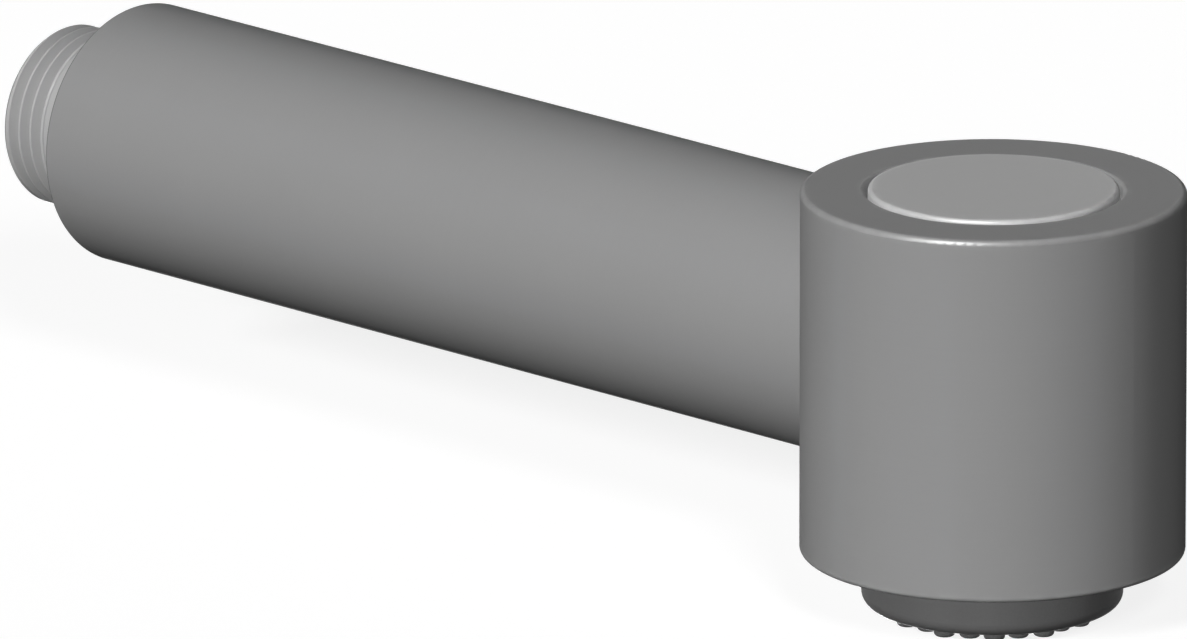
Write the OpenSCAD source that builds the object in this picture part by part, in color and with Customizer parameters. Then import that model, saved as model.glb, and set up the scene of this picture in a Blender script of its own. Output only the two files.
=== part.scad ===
// Hand-held shower spout: a round handle tube with a threaded hose inlet,
// and an upright round head with a push button on top and a spray face below.
// X runs along the handle from the inlet to the head, Z is up, and the origin
// is the centre of the threaded stub's end face. All sizes are millimetres.
// The valve is shown at rest: button up, centre stream open, inlet valve shut.

/* [Handle] */
// Outside diameter of the handle tube
handle_d = 30; // [29:0.5:33]
// Distance from the handle's inlet end to the head's axis
handle_reach = 135; // [105:1:180]
// Wall of the handle tube along its middle
handle_wall = 2.1; // [1.9:0.1:2.3]
// Depth to which the inlet end is bored out for the connector
end_bore_len = 13.5; // [12.5:0.5:18]
// Wall left around the bored-out inlet end
end_bore_wall = 1.4; // [1.2:0.1:1.6]
// Edge break on the outside of the inlet end
handle_edge = 0.3; // [0.1:0.1:0.6]
// Length of the sleeve that joins the handle to the head
joint_len = 16; // [8:1:24]
// Wall of the joint sleeve
joint_wall = 1.3; // [1:0.1:2]

/* [Head] */
// Outside diameter of the head
head_d = 43; // [42:0.5:46]
// Height of the head from its top face to its bottom face
head_h = 41.6; // [41:0.2:46]
// Height of the head's top face over the handle's axis
head_rise = 19.5; // [19.3:0.1:21]
// Wall of the head shell
head_wall = 2; // [1.6:0.1:2.1]
// Thickness of the head shell's top plate
top_plate_t = 2.5; // [2:0.1:2.7]
// Rounding of the head's outer edges
head_round = 0.6; // [0.2:0.1:1]
// Thickness of the ring that closes the head below
base_ring_t = 2.5; // [2:0.1:3.5]
// Number of spanner holes in the base ring
spanner_holes = 4; // [2:1:6]
// Diameter of a spanner hole
spanner_hole_d = 2; // [1.5:0.1:2.2]
// Depth of a spanner hole
spanner_hole_depth = 1.4; // [0.8:0.1:1.8]

/* [Button] */
// Diameter of the push button
button_d = 28; // [26:0.2:28.6]
// Gap between the button and its hole, measured on the radius
button_gap = 0.3; // [0.2:0.05:0.5]
// Height of the button over the head's top face
button_proud = 0.3; // [0:0.1:1.5]
// Rounding of the button's edge
button_round = 0.5; // [0.2:0.1:1]
// Rounding of the rim of the button's hole
hole_round = 0.5; // [0.2:0.1:0.8]
// Thickness of the button's top
button_t = 1.6; // [1.2:0.1:2]
// Wall of the button's skirt
button_wall = 1.6; // [1.2:0.1:2.4]
// How far the button's foot reaches under the head's top plate
foot_reach = 1.1; // [0.6:0.1:1.3]
// Thickness of the button's foot
foot_t = 1.5; // [1:0.1:2]
// How far the button travels
press_travel = 3.5; // [2.5:0.1:3.6]

/* [Inlet thread] */
// Crest diameter of the inlet thread
thread_d = 20.8; // [20.2:0.1:20.95]
// Pitch of the inlet thread
thread_pitch = 1.814; // [1.2:0.001:2]
// Depth of the thread groove
thread_depth = 1.166; // [0.5:0.01:1.17]
// Width of the flat at the bottom of the groove
thread_root = 0.3; // [0.2:0.05:0.5]
// Length of the threaded stub outside the handle
stub_len = 12; // [11:0.5:16]
// Distance along the stub that the thread reaches
thread_len = 6.9; // [5:0.1:10]
// Where the first crest stands on the side that faces -Y
first_crest = 1.46; // [0.5:0.02:1.8]
// Chamfer at the stub's end
stub_chamfer = 0.5; // [0.3:0.1:0.5]

/* [Connector] */
// How much smaller than the thread the neck inside the end nut is, on the radius
neck_step = 0.3; // [0.1:0.05:0.6]
// How deep the end nut sits inside the handle's end
nut_recess = 1; // [0.5:0.1:1.5]
// Length of the connector's collar
collar_len = 9.5; // [8:0.5:10.5]
// Outside diameter of the tail that takes the waterway tube
tail_d = 17.2; // [16:0.2:22]
// Length of the tail
tail_len = 11.5; // [11:0.5:20]
// Diameter of the connector's straight bore
connector_bore_d = 10; // [8:0.2:11]
// Diameter of the pocket for the filter washer
filter_pocket_d = 16; // [15.4:0.1:16.4]
// Depth of the pocket for the filter washer
filter_pocket_depth = 2; // [1.6:0.1:3]
// Thickness of the filter washer
filter_t = 1.5; // [1:0.1:1.6]
// Rim width of the filter washer
filter_rim_w = 1.3; // [0.8:0.1:2]
// Pitch of the wire mesh in the filter and the aerator
mesh_pitch = 1.5; // [1.2:0.1:2]
// Width of the wires of that mesh
mesh_wire = 0.4; // [0.3:0.05:0.6]
// Thickness of that mesh
mesh_t = 0.3; // [0.2:0.05:0.4]
// Section diameter of the connector's sealing ring
collar_ring_d = 1.8; // [1.4:0.1:2]

/* [Inlet check valve] */
// Diameter of the check valve's cartridge bore
cartridge_bore_d = 15.1; // [14.9:0.1:15.3]
// Diameter of the hole in the cartridge's seat
check_seat_d = 9.2; // [8:0.2:9.6]
// Distance from the cartridge's front to its seat
check_seat_depth = 4.4; // [4:0.1:5]
// Inside diameter of the cartridge behind its seat
check_chamber_d = 12.6; // [12.4:0.1:12.7]
// Diameter of the poppet's disc
poppet_d = 11.2; // [10.8:0.1:11.6]
// Thickness of the poppet's disc
poppet_t = 1; // [0.8:0.1:1.4]
// Thickness of the rubber ring on the poppet
poppet_seal_t = 0.8; // [0.6:0.1:1]
// Length of the poppet's nose in the seat
poppet_nose_len = 1.8; // [1:0.1:2.4]
// Diameter of the poppet's stem
poppet_stem_d = 2.4; // [2:0.1:2.8]
// Diameter of the poppet's nose
poppet_nose_d = 7.6; // [7:0.1:7.8]
// How far the poppet opens
check_travel = 2.5; // [1.5:0.1:2.6]
// Length of the guide that carries the poppet's stem
guide_len = 3; // [2:0.1:3.4]
// Number of arms in that guide
guide_arms = 3; // [3:1:4]
// Section diameter of the cartridge's sealing ring
cartridge_ring_d = 0.95; // [0.8:0.05:1]

/* [Waterway tube] */
// Outside diameter of the waterway tube
tube_d = 12; // [11.4:0.1:12.4]
// Bore of the waterway tube
tube_bore_d = 8; // [7:0.1:8.2]
// Depth of the valve body's socket for the tube
socket_depth = 7.4; // [6.8:0.1:8]
// Depth of the grooves for the tube's sealing rings
tube_ring_depth = 1; // [0.8:0.05:1.1]
// Distance from the tube's end to its first sealing ring
tube_ring_first = 2.2; // [1.8:0.1:2.4]
// Distance between a pair of the tube's sealing rings
tube_ring_step = 2.8; // [2.4:0.1:3]

/* [Diverter valve] */
// Thickness of the valve body's cover
cover_t = 2.8; // [2.6:0.1:3]
// Room left between the pressed button and the cover
press_room = 0.55; // [0.4:0.05:0.7]
// Diameter of the chamber that the valve disc moves in
chamber_d = 18; // [17:0.2:18.4]
// Diameter of the hole in each valve seat
seat_d = 12; // [11:0.2:12.4]
// Thickness of the loose upper seat ring
seat_ring_t = 2; // [1.6:0.1:2.2]
// Outside diameter of the rubber valve disc
disc_d = 15.2; // [14.4:0.2:15.6]
// Thickness of the rubber valve disc
disc_t = 3; // [2.6:0.1:3.2]
// Diameter of the spindle's stem
stem_d = 5; // [4.6:0.1:5.2]
// Diameter of the spindle's lower pilot
pilot_d = 3.8; // [3.4:0.1:4]
// Diameter of the stud at the top of the spindle
stud_d = 4; // [3.6:0.1:4.2]
// Diameter of the spindle's clamping collar and washer
clamp_d = 8.4; // [7:0.2:9]
// Thickness of the spindle's clamping collar
clamp_t = 1; // [0.8:0.1:1.2]
// Thickness of the washer under the valve disc
washer_t = 0.6; // [0.5:0.1:0.8]
// Shank diameter of the screw in the spindle's foot
screw_d = 2.4; // [2:0.1:2.6]
// Head diameter of that screw
screw_head_d = 4.8; // [4.2:0.1:5.6]
// Head height of that screw
screw_head_h = 1.6; // [1.2:0.1:2]
// Section diameter of the sealing ring around the stem
stem_ring_d = 1.8; // [1.6:0.1:1.8]
// Section diameter of the sealing ring under the cover
cover_ring_d = 1.1; // [0.9:0.05:1.2]
// Number of drillings that feed the ring of nozzles
feed_holes = 5; // [3:1:5]
// Diameter of those drillings
feed_hole_d = 3.2; // [2:0.1:3.4]
// Distance of those drillings' centres from the gallery's outer wall
feed_inset = 2.1; // [1.8:0.1:2.4]
// Wall of the valve body outside the gallery that feeds the drillings
gallery_wall = 2.8; // [2.6:0.1:3]
// Height of the valve body's underside, measured down from the handle's axis
body_drop = 12; // [11:0.1:13]

/* [Springs] */
// Mean diameter of the button's return spring
return_spring_d = 12; // [11.8:0.1:12.2]
// Wire diameter of the return spring
return_wire_d = 0.8; // [0.6:0.05:0.9]
// Turns of the return spring
return_turns = 6; // [4:1:6]
// Mean diameter of the check valve's spring
check_spring_d = 5.2; // [4.6:0.1:5.6]
// Wire diameter of the check valve's spring
check_wire_d = 0.5; // [0.4:0.05:0.55]
// Turns of the check valve's spring
check_turns = 4; // [3:1:4]

/* [Spray face] */
// Diameter of the spray ring
ring_d = 29.2; // [28:0.2:29.6]
// How far the spray ring stands below the head
ring_drop = 6; // [4:0.1:10]
// Rounding of the spray ring's lower edge
ring_round = 1.45; // [0.5:0.05:1.8]
// Outer wall of the spray ring
ring_wall = 1.2; // [0.8:0.1:1.4]
// Thickness of the spray ring's face
face_t = 1.2; // [0.8:0.1:1.5]
// Thickness of the rim with which the spray ring hangs in the head
rim_t = 1.3; // [1:0.1:2]
// Thickness of the gasket on top of the spray ring
gasket_t = 0.6; // [0.4:0.1:0.8]
// Number of nozzles in each of the two rows
nozzles_per_row = 12; // [6:1:12]
// Distance of the outer row of nozzles from the axis
outer_row_r = 11; // [10.8:0.05:11.4]
// Distance of the inner row of nozzles from the axis
inner_row_r = 10.35; // [10.3:0.05:10.5]
// Diameter of a nozzle where it leaves the face
nozzle_d = 2.4; // [1.8:0.1:2.4]
// How far a nozzle stands out of the face
nozzle_out = 1.15; // [0.6:0.05:1.6]
// Rounding of a nozzle's shoulder
nozzle_round = 0.45; // [0.3:0.05:0.6]
// Diameter of the water hole in a nozzle
nozzle_hole_d = 0.8; // [0.6:0.05:1]
// Thickness of the rubber nozzle mat
mat_t = 1.2; // [0.8:0.1:2]
// Thickness of the plate that presses on the mat
distributor_t = 1; // [0.8:0.1:2]

/* [Aerator] */
// Bore of the spray ring's centre tube, which takes the aerator
aerator_bore_d = 16.4; // [16:0.1:16.5]
// Wall of that centre tube
centre_tube_wall = 0.8; // [0.7:0.05:0.85]
// How far the aerator stands back from the spray face
aerator_recess = 0.6; // [0.2:0.1:1]
// Wall of the aerator's housing
aerator_wall = 0.9; // [0.7:0.1:1.2]
// Lip that holds the honeycomb in the housing
aerator_lip = 0.6; // [0.4:0.1:0.8]
// Thickness of the honeycomb
honeycomb_t = 2; // [1.4:0.1:3]
// Width across the flats of a honeycomb cell
cell_w = 1.9; // [1.5:0.1:2]
// Wall between honeycomb cells
cell_wall = 0.3; // [0.25:0.05:0.5]
// Thickness of an aerator screen's rim
screen_t = 0.6; // [0.5:0.1:0.8]
// Thickness of the flow regulator
regulator_t = 2.7; // [2:0.1:3.4]
// Number of jets in the flow regulator
regulator_jets = 12; // [6:1:12]
// Diameter of a jet in the flow regulator
regulator_jet_d = 1.2; // [0.8:0.1:1.4]
// Thickness of the aerator's sealing washer
aerator_seal_t = 1.6; // [1:0.1:2]
// Wall of the spigot that leads to the aerator
spigot_wall = 2.1; // [1.8:0.1:2.4]
// Section diameter of the sealing ring around that spigot
spigot_ring_d = 1.2; // [1:0.05:1.4]

/* [Clearances] */
// Fixed fit between pressed, brazed or screwed pieces, on the radius
fit = 0.05; // [0.03:0.01:0.08]
// Running fit of the spindle and the poppet's stem, on the radius
running_fit = 0.05; // [0.02:0.01:0.08]
// Loose assembly gap
loose = 0.1; // [0.05:0.05:0.2]
// Gap that stands for a closed seal or a stop between moving pieces
stop_gap = 0.15; // [0.1:0.05:0.25]
// Gap between the spray ring and the base ring around it
ring_gap = 0.15; // [0.1:0.05:0.3]
// Gap between the end nut and the thread that it slides over
nut_gap = 0.2; // [0.1:0.05:0.3]

/* [Hidden] */
$fn = 96;
past = 1;                                   // how far a cutter runs past what it cuts
small_round = 0.4;                          // edge round of small turned pieces
bore_break = 0.3;                           // edge break of bores in the head's underside

// Handle
handle_r = handle_d / 2;
handle_x = stub_len;                        // inlet end of the handle
head_x = handle_x + handle_reach;           // axis of the head
handle_bore_r = handle_r - handle_wall;
end_bore_r = handle_r - end_bore_wall;
shoulder_x = handle_x + end_bore_len;       // step that the connector's collar seats on

// Head
head_r = head_d / 2;
head_in_r = head_r - head_wall;
bottom_z = head_rise - head_h;
plate_z = head_rise - top_plate_t;          // underside of the top plate
core_r = head_in_r - loose;                 // outside of the valve body and its cover

// Button
button_r = button_d / 2;
button_hole_r = button_r + button_gap;
button_top_z = head_rise + button_proud;
button_under_z = button_top_z - button_t;
foot_r = button_hole_r + foot_reach;
foot_top_z = plate_z - stop_gap;
foot_z = foot_top_z - foot_t;
button_boss_r = 3.6;
button_boss_h = 2.8;
boss_z = button_under_z - button_boss_h;
spring_lip = 0.6;                           // wall and height of the rib that centres the spring

// Connector
thread_r = thread_d / 2;
neck_r = thread_r - neck_step;
nut_in_r = thread_r + nut_gap;
nut_x = handle_x + nut_recess;
collar_x = shoulder_x - collar_len;
collar_r = end_bore_r - fit;
tail_end_x = shoulder_x + tail_len;
nut_slots = 4;
nut_slot_w = 2.4;
nut_slot_depth = 1.4;
collar_ring_room = 0.2;                     // a seal groove is this much wider than its ring
socket_r = tube_d / 2 + fit;
tube_stop_back = 0.5;                       // how far the tube's socket reaches into the collar
tube_stop_x = shoulder_x - tube_stop_back;
filter_x = filter_pocket_depth - filter_t;
filter_r = filter_pocket_d / 2 - loose;

// Check valve
cartridge_x = filter_pocket_depth;
cartridge_r = cartridge_bore_d / 2 - fit;
check_seat_x = cartridge_x + check_seat_depth;
poppet_face_x = check_seat_x + stop_gap;
poppet_disc_x = poppet_face_x + poppet_seal_t;
poppet_back_x = poppet_disc_x + poppet_t;
coil_room = 0.35;                           // left between the coils when the valve is wide open
guide_x = poppet_back_x + check_travel + check_turns * check_wire_d + coil_room;
guide_back_x = guide_x + guide_len;
guide_inset = 0.6;                          // the guide clips in this far inside the cartridge
cartridge_end_x = guide_back_x + guide_inset;
cartridge_stop_x = cartridge_end_x + loose;
guide_hub_r = 3.3;
guide_rim_w = 0.8;
guide_arm_w = 1.2;
poppet_stem_r = poppet_stem_d / 2;
stem_inset = 0.8;                           // the shut poppet's stem ends this far inside the guide
poppet_end_x = guide_back_x - stem_inset;
nose_round = 1;
cartridge_ring_at = 2.8;                    // from the cartridge's front to its sealing ring
cartridge_ring_x = cartridge_x + cartridge_ring_at;

// Waterway tube
tube_r = tube_d / 2;
tube_x0 = tube_stop_x + loose;
socket_floor_x = head_x - core_r + socket_depth;
tube_x1 = socket_floor_x - loose;
tube_ring_r = tube_r - tube_ring_depth;     // floor of the grooves in the tube
tube_ring_section = (socket_r - tube_ring_r) / 2;

// Diverter valve
cover_top_z = foot_z - press_travel - press_room;
cover_z = cover_top_z - cover_t;
foot_room = 1;                              // between the button's foot and the cover's rim
cover_rim_r = foot_r + foot_room;
seat_r = seat_d / 2;
chamber_r = chamber_d / 2;
stem_r = stem_d / 2;
disc_r = disc_d / 2;
disc_z = (0 - disc_t - press_travel) / 2 + press_travel;   // disc centred on the inlet over its travel
disc_top_z = disc_z + disc_t;
upper_seat_z = disc_top_z + stop_gap;
seat_ring_top_z = upper_seat_z + seat_ring_t;
lower_seat_z = disc_z - press_travel - stop_gap;
body_z = -body_drop;
spring_pocket_gap = 0.5;                    // room on each side of the return spring
pocket_in_r = (return_spring_d - return_wire_d) / 2 - spring_pocket_gap;
pocket_out_r = (return_spring_d + return_wire_d) / 2 + spring_pocket_gap;
well_floor_t = 1;
well_gap = 1.25;                            // height of the water way under the cover's well
well_z = seat_ring_top_z + well_gap;
well_r = chamber_r - loose;
well_floor_z = well_z + well_floor_t;
gland_r = stem_r + running_fit;
gland_pocket_r = gland_r + stem_ring_d;
gland_washer_t = 0.6;
gland_floor_z = cover_top_z - gland_washer_t - stem_ring_d;
stem_ring_z = gland_floor_z + stem_ring_d / 2;
gallery_r = core_r - gallery_wall;
feed_hole_at = gallery_r - feed_inset;
cover_ring_at = (gallery_r + core_r) / 2;
gallery_reach = 6;                          // the gallery stays clear of the inlet socket
gallery_sector_x = head_x - gallery_reach;
feed_step = 45;                             // angle between neighbouring drillings
screw_len = 4.4;
screw_hole_depth = 4.6;
pilot_short = 0.1;                          // the pilot ends this much inside the disc

// Spray face
ring_r = ring_d / 2;
face_z = bottom_z - ring_drop;
base_top_z = bottom_z + base_ring_t;
hang_gap = 1;                               // around the spray ring's upper cup
hang_r = core_r - hang_gap;
hang_wall = 1.3;
ring_top_z = body_z - gasket_t;
plenum_r = ring_r - ring_wall;
centre_bore_r = aerator_bore_d / 2;
centre_tube_r = centre_bore_r + centre_tube_wall;
centre_tube_gap = 1;                        // between the centre tube and the valve body
centre_tube_top_z = body_z - centre_tube_gap;
mat_z = face_z + face_t;
mat_top_z = mat_z + mat_t;
distributor_top_z = mat_top_z + distributor_t;
nozzle_r = nozzle_d / 2;
nozzle_hole_gap = 0.05;                     // between a nozzle and its hole in the face
distributor_hole_r = 0.9;

// Aerator
aerator_z = face_z + aerator_recess;
aerator_r = centre_bore_r - loose;
aerator_in_r = aerator_r - aerator_wall;
insert_r = aerator_in_r - fit;
honeycomb_z = aerator_z + aerator_lip;
honeycomb_top_z = honeycomb_z + honeycomb_t;
screens = 2;
screen_rim_w = 0.8;
screen_step = screen_t + fit;               // each screen lies on the one below it
regulator_z = honeycomb_top_z + screens * screen_step;
aerator_top_z = regulator_z + regulator_t;
aerator_seal_top_z = aerator_top_z + aerator_seal_t;
spigot_r = centre_bore_r - loose;
spigot_bore_r = spigot_r - spigot_wall;
spigot_ring_floor_r = centre_bore_r - spigot_ring_d;
spigot_ring_z = (body_z + aerator_seal_top_z) / 2;
regulator_floor_t = 0.8;
regulator_wall = 1.2;
regulator_jets_r = 4.2;
honeycomb_rings = 3;

// Turns a drawn half section about the head's axis
module about_head() { translate([head_x, 0, 0]) rotate_extrude() children(); }

// Turns a half section about the handle's axis: its height runs along +X
module about_handle() { rotate([0, 90, 0]) rotate_extrude() children(); }

// A rectangle in a half section, between two radii and two heights
module band(r0, r1, z0, z1) { translate([r0, z0]) square([r1 - r0, z1 - z0]); }

// What has to be cut from a corner to round it: way points from the corner into the solid
module corner_cut(r, z, way, round_r) {
    translate([r, z])
        mirror([way[0] < 0 ? 1 : 0, 0])
            mirror([0, way[1] < 0 ? 1 : 0])
                difference() {
                    square(round_r);
                    translate([round_r, round_r]) circle(round_r);
                }
}

// A rubber ring of round section that fills its groove
module ring_seal(inner_r, outer_r, z) {
    translate([(inner_r + outer_r) / 2, z]) circle((outer_r - inner_r) / 2, $fn = 48);
}

// A groove for such a ring
module ring_groove(inner_r, outer_r, z, width) {
    band(inner_r, outer_r, z - width / 2, z + width / 2);
}

// A coil of round wire around Z, as one unbroken tube of six sides
module coil_spring(mean_d, wire_d, turns, length) {
    rings_per_turn = 16;
    sides = 6;
    steps = turns * rings_per_turn;
    lead = (length - wire_d) / turns;
    wire_r = wire_d / 2;
    points = [for (i = [0:steps]) let (turn = i / rings_per_turn, a = 360 * turn)
        for (j = [0:sides - 1]) let (b = 360 * j / sides, reach = mean_d / 2 + wire_r * cos(b))
            [reach * cos(a), reach * sin(a), wire_r + lead * turn + wire_r * sin(b)]];
    walls = [for (i = [0:steps - 1]) for (j = [0:sides - 1])
        let (a = i * sides + j, b = i * sides + (j + 1) % sides)
            each [[a, b + sides, b], [a, a + sides, b + sides]]];
    caps = [[for (j = [0:sides - 1]) j], [for (j = [sides - 1:-1:0]) steps * sides + j]];
    polyhedron(points, concat(walls, caps));
}

// The helical groove of the thread, as a cutter around Z that rises out of the metal at its end
module thread_cutter() {
    steps_per_turn = 48;
    outside = 0.15;
    half_thread_angle = 27.5;
    widest = 0.98 * (thread_pitch - thread_root) / 2 / (thread_depth + outside);
    slope = min(tan(half_thread_angle), widest);
    start_x = -thread_pitch;
    fade_turns = 0.5;
    side_angle = 270;
    groove_on_side = first_crest + thread_pitch / 2;
    turns = (thread_len - start_x) / thread_pitch;
    steps = ceil(turns * steps_per_turn);
    start_angle = side_angle + 360 * (start_x - groove_on_side) / thread_pitch;
    function lift(turn) = max(0, turn - turns + fade_turns) / fade_turns * (thread_depth + outside / 2);
    function across(turn, r) =
        thread_root / 2 + slope * (r - (thread_r - thread_depth + lift(turn)));
    points = [for (i = [0:steps]) let (
            turn = turns * i / steps,
            a = start_angle + 360 * turn,
            z = start_x + thread_pitch * turn,
            r_low = thread_r - thread_depth + lift(turn),
            r_high = thread_r + outside)
        each [for (corner = [[r_low, -1], [r_high, -1], [r_high, 1], [r_low, 1]])
            [corner[0] * cos(a), corner[0] * sin(a), z + corner[1] * across(turn, corner[0])]]];
    walls = [for (i = [0:steps - 1]) for (j = [0:3])
        let (a = 4 * i + j, b = 4 * i + (j + 1) % 4)
            each [[a, b, b + 4], [a, b + 4, a + 4]]];
    caps = [[3, 2, 1, 0], [for (j = [0:3]) 4 * steps + j]];
    polyhedron(points, concat(walls, caps));
}

// A woven screen: a disc with square holes
module screen_cloth(disc_r) {
    half = ceil(disc_r / mesh_pitch);
    hole = mesh_pitch - mesh_wire;
    reach = disc_r - mesh_wire;
    difference() {
        circle(disc_r);
        for (i = [-half:half]) for (j = [-half:half])
            if (norm([abs(i) * mesh_pitch + hole / 2, abs(j) * mesh_pitch + hole / 2]) < reach)
                translate([i * mesh_pitch, j * mesh_pitch]) square(hole, center = true);
    }
}

// Puts its child at each nozzle of the two staggered rows
module at_nozzles() {
    for (k = [0:nozzles_per_row - 1]) {
        angle = 360 * k / nozzles_per_row;
        translate([head_x, 0, 0]) rotate(angle) translate([inner_row_r, 0, 0]) children();
        translate([head_x, 0, 0]) rotate(angle + 180 / nozzles_per_row)
            translate([outer_row_r, 0, 0]) children();
    }
}

// Outer tube of the handle, coped to the round of the head
module handle_tube() {
    color("gray") difference() {
        about_handle() difference() {
            band(handle_bore_r, handle_r, handle_x, head_x);
            band(0, end_bore_r, handle_x - past, shoulder_x);
            translate([handle_r, handle_x]) rotate(45) square(handle_edge * sqrt(2), center = true);
        }
        translate([head_x, 0, -handle_d]) cylinder(r = head_r, h = 2 * handle_d);
    }
}

// Sleeve brazed into the handle and the head's side port
module joint_sleeve() {
    sleeve_r = handle_bore_r - fit;
    color("darkgray") difference() {
        about_handle() band(sleeve_r - joint_wall, sleeve_r, head_x - head_r - joint_len, head_x);
        translate([head_x, 0, -handle_d]) cylinder(r = head_in_r + loose, h = 2 * handle_d);
    }
}

// Shell of the head, open below, with the button's hole and the side port
module head_shell() {
    color("gray") difference() {
        about_head() difference() {
            union() {
                band(head_in_r, head_r, bottom_z, head_rise);
                band(button_hole_r, head_r, plate_z, head_rise);
            }
            corner_cut(head_r, head_rise, [-1, -1], head_round);
            corner_cut(head_r, bottom_z, [-1, 1], head_round);
            corner_cut(button_hole_r, head_rise, [1, -1], hole_round);
        }
        translate([head_x, 0, 0]) rotate([0, -90, 0]) cylinder(r = handle_bore_r, h = head_r + past);
    }
}

// Screwed ring that closes the head and carries the spray ring
module base_ring() {
    inner_r = ring_r + ring_gap;
    outer_r = head_in_r - fit;
    color("gray") difference() {
        about_head() difference() {
            band(inner_r, outer_r, bottom_z, base_top_z);
            corner_cut(inner_r, bottom_z, [1, 1], bore_break);
        }
        for (k = [0:spanner_holes - 1])
            translate([head_x, 0, 0]) rotate(360 * (k + 0.5) / spanner_holes)
                translate([(inner_r + outer_r) / 2, 0, bottom_z - past])
                    cylinder(d = spanner_hole_d, h = past + spanner_hole_depth);
    }
}

// Nut with spanner slots that holds the connector in the handle
module end_nut() {
    outer_r = end_bore_r - fit;
    color("silver") difference() {
        about_handle() band(nut_in_r, outer_r, nut_x, collar_x);
        for (k = [0:nut_slots - 1])
            rotate([360 * k / nut_slots, 0, 0])
                translate([nut_x - past, nut_in_r - past, -nut_slot_w / 2])
                    cube([past + nut_slot_depth, outer_r, nut_slot_w]);
    }
}

// Threaded stub, collar and tail, with the pockets for the filter and the check valve
module inlet_connector() {
    ring_r0 = end_bore_r - collar_ring_d;
    color("silver") rotate([0, 90, 0]) difference() {
        rotate_extrude() difference() {
            union() {
                band(0, thread_r, 0, nut_x);
                band(0, neck_r, 0, collar_x);
                band(0, collar_r, collar_x, shoulder_x);
                band(0, tail_d / 2, shoulder_x, tail_end_x);
            }
            translate([thread_r, 0]) rotate(45) square(stub_chamfer * sqrt(2), center = true);
            band(0, filter_pocket_d / 2, -past, filter_pocket_depth);
            band(0, cartridge_bore_d / 2, -past, cartridge_stop_x);
            band(0, connector_bore_d / 2, -past, tail_end_x + past);
            band(0, socket_r, tube_stop_x, tail_end_x + past);
            ring_groove(ring_r0, end_bore_r, (collar_x + shoulder_x) / 2, collar_ring_d + collar_ring_room);
        }
        thread_cutter();
    }
}

// Rubber ring around the connector's collar
module connector_seal() {
    color("black") about_handle()
        ring_seal(end_bore_r - collar_ring_d, end_bore_r, (collar_x + shoulder_x) / 2);
}

// Rubber washer that carries the inlet's filter mesh
module filter_washer() {
    mesh_x = filter_x + (filter_t - mesh_t) / 2;
    color("black") about_handle() difference() {
        band(filter_r - filter_rim_w, filter_r, filter_x, filter_pocket_depth);
        band(0, filter_r - filter_rim_w / 2, mesh_x, mesh_x + mesh_t);
    }
}

// Wire mesh held in the filter washer
module filter_mesh() {
    mesh_x = filter_x + (filter_t - mesh_t) / 2;
    color("gainsboro") translate([mesh_x, 0, 0]) rotate([0, 90, 0])
        linear_extrude(mesh_t) screen_cloth(filter_r - filter_rim_w / 2 - fit);
}

// Cartridge of the check valve, with its seat
module check_cartridge() {
    color("white") about_handle() difference() {
        band(check_seat_d / 2, cartridge_r, cartridge_x, cartridge_end_x);
        band(0, check_chamber_d / 2, check_seat_x, cartridge_end_x + past);
        ring_groove(cartridge_bore_d / 2 - cartridge_ring_d, cartridge_r + past, cartridge_ring_x,
            cartridge_ring_d + collar_ring_room);
    }
}

// Rubber ring around the cartridge
module check_cartridge_seal() {
    color("black") about_handle()
        ring_seal(cartridge_bore_d / 2 - cartridge_ring_d, cartridge_bore_d / 2, cartridge_ring_x);
}

// Poppet of the check valve: nose, disc and stem
module check_poppet() {
    nose_x = poppet_face_x - poppet_nose_len;
    color("ivory") about_handle() difference() {
        union() {
            band(0, poppet_nose_d / 2, nose_x, poppet_disc_x);
            band(0, poppet_d / 2, poppet_disc_x, poppet_back_x);
            band(0, poppet_stem_r, poppet_back_x, poppet_end_x);
        }
        corner_cut(poppet_nose_d / 2, nose_x, [-1, 1], nose_round);
        corner_cut(poppet_stem_r, poppet_end_x, [-1, -1], small_round);
    }
}

// Rubber ring that seals the poppet on its seat
module check_poppet_seal() {
    color("black") about_handle() band(poppet_nose_d / 2, poppet_d / 2, poppet_face_x, poppet_disc_x);
}

// Spring that shuts the check valve
module check_spring() {
    color("silver") translate([poppet_back_x + loose / 2, 0, 0]) rotate([0, 90, 0])
        coil_spring(check_spring_d, check_wire_d, check_turns, guide_x - poppet_back_x - loose);
}

// Spider that guides the poppet's stem and carries the spring
module check_guide() {
    rim_r = check_chamber_d / 2 - fit;
    arm_from = guide_hub_r / 2;
    color("white") translate([guide_x, 0, 0]) rotate([0, 90, 0]) linear_extrude(guide_len)
        difference() {
            union() {
                difference() {
                    circle(rim_r);
                    circle(rim_r - guide_rim_w);
                }
                circle(guide_hub_r);
                for (k = [0:guide_arms - 1])
                    rotate(360 * k / guide_arms) translate([arm_from, -guide_arm_w / 2])
                        square([rim_r - guide_rim_w / 2 - arm_from, guide_arm_w]);
            }
            circle(poppet_stem_r + running_fit);
        }
}

// Inner tube that carries the water from the connector to the valve body
module waterway_tube() {
    groove = 2 * tube_ring_section + collar_ring_room;
    color("whitesmoke") about_handle() difference() {
        band(tube_bore_d / 2, tube_r, tube_x0, tube_x1);
        for (k = [0, 1]) {
            at = tube_ring_first + k * tube_ring_step;
            ring_groove(tube_ring_r, tube_r + past, tube_x0 + at, groove);
            ring_groove(tube_ring_r, tube_r + past, tube_x1 - at, groove);
        }
    }
}

// Pair of rubber rings on the tube's inlet end
module tube_seals_inlet() {
    color("black") for (k = [0, 1])
        about_handle() ring_seal(tube_ring_r, socket_r, tube_x0 + tube_ring_first + k * tube_ring_step);
}

// Pair of rubber rings on the tube's head end
module tube_seals_head() {
    color("black") for (k = [0, 1])
        about_handle() ring_seal(tube_ring_r, socket_r, tube_x1 - tube_ring_first - k * tube_ring_step);
}

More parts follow.
